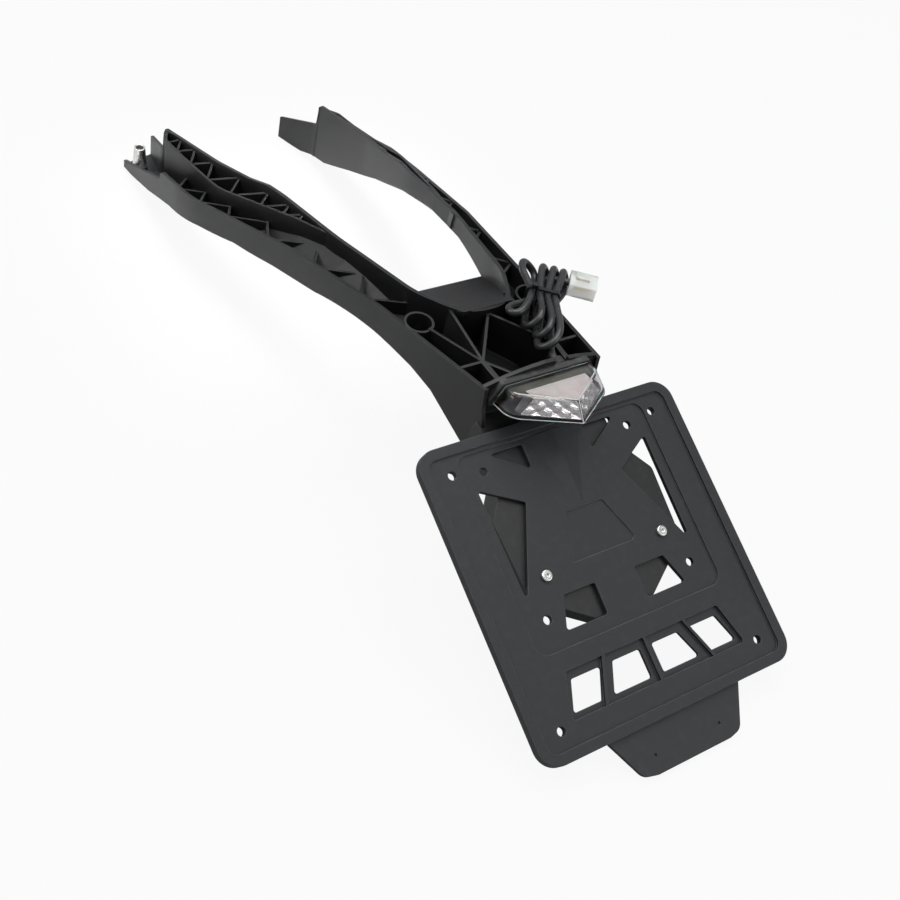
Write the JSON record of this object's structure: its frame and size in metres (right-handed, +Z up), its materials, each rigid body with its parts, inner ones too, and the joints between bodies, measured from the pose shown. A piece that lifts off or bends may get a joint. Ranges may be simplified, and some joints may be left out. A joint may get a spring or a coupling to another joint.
{
  "type": "motorcycle tail tidy",
  "caption": "Forked black tail frame for an off-road motorcycle with ribbed arms, an inclined pierced plate panel, a clear tail lamp and its tied cable ending in a connector.",
  "frame": {"origin": "middle of the line between the top faces of the two front bushes", "axes": "+Z up along the bush axes, +Y forward along the motorcycle, +X to the rider's right"},
  "size_m": [0.19, 0.6804, 0.1669],
  "materials": {
    "frame_plastic": "fine-grained black moulding",
    "panel_plastic": "fine-grained blue-black moulding",
    "screw_steel": "bright zinc",
    "nut_steel": "zinc",
    "bush_steel": "turned",
    "lamp_black": "satin",
    "seal_rubber": "soft",
    "board_green": "printed board",
    "led_red": "clear red dome",
    "reflector_silver": "vacuum plated",
    "lens_clear": "clear polycarbonate",
    "grommet_rubber": "soft",
    "cable_black": "satin sleeve",
    "tie_black": "nylon",
    "connector_white": "milky nylon",
    "terminal_brass": "stamped"
  },
  "bodies": {
    "root": {"tail_frame": "frame_plastic", "plate_panel": "panel_plastic", "panel_screws": "screw_steel", "panel_nuts": "nut_steel", "left_bush": "bush_steel", "right_bush": "bush_steel", "lamp_base": "lamp_black", "lamp_seal": "seal_rubber", "lamp_board": "board_green", "lamp_leds": "led_red", "lamp_reflector": "reflector_silver", "lamp_lens": "lens_clear", "lamp_screws": "screw_steel", "cable_grommet": "grommet_rubber", "lamp_cable": "cable_black", "cable_hank": "cable_black", "cable_tie": "tie_black", "connector_lead": "cable_black", "connector_body": "connector_white", "connector_terminals": "terminal_brass"}
  },
  "joints": []
}
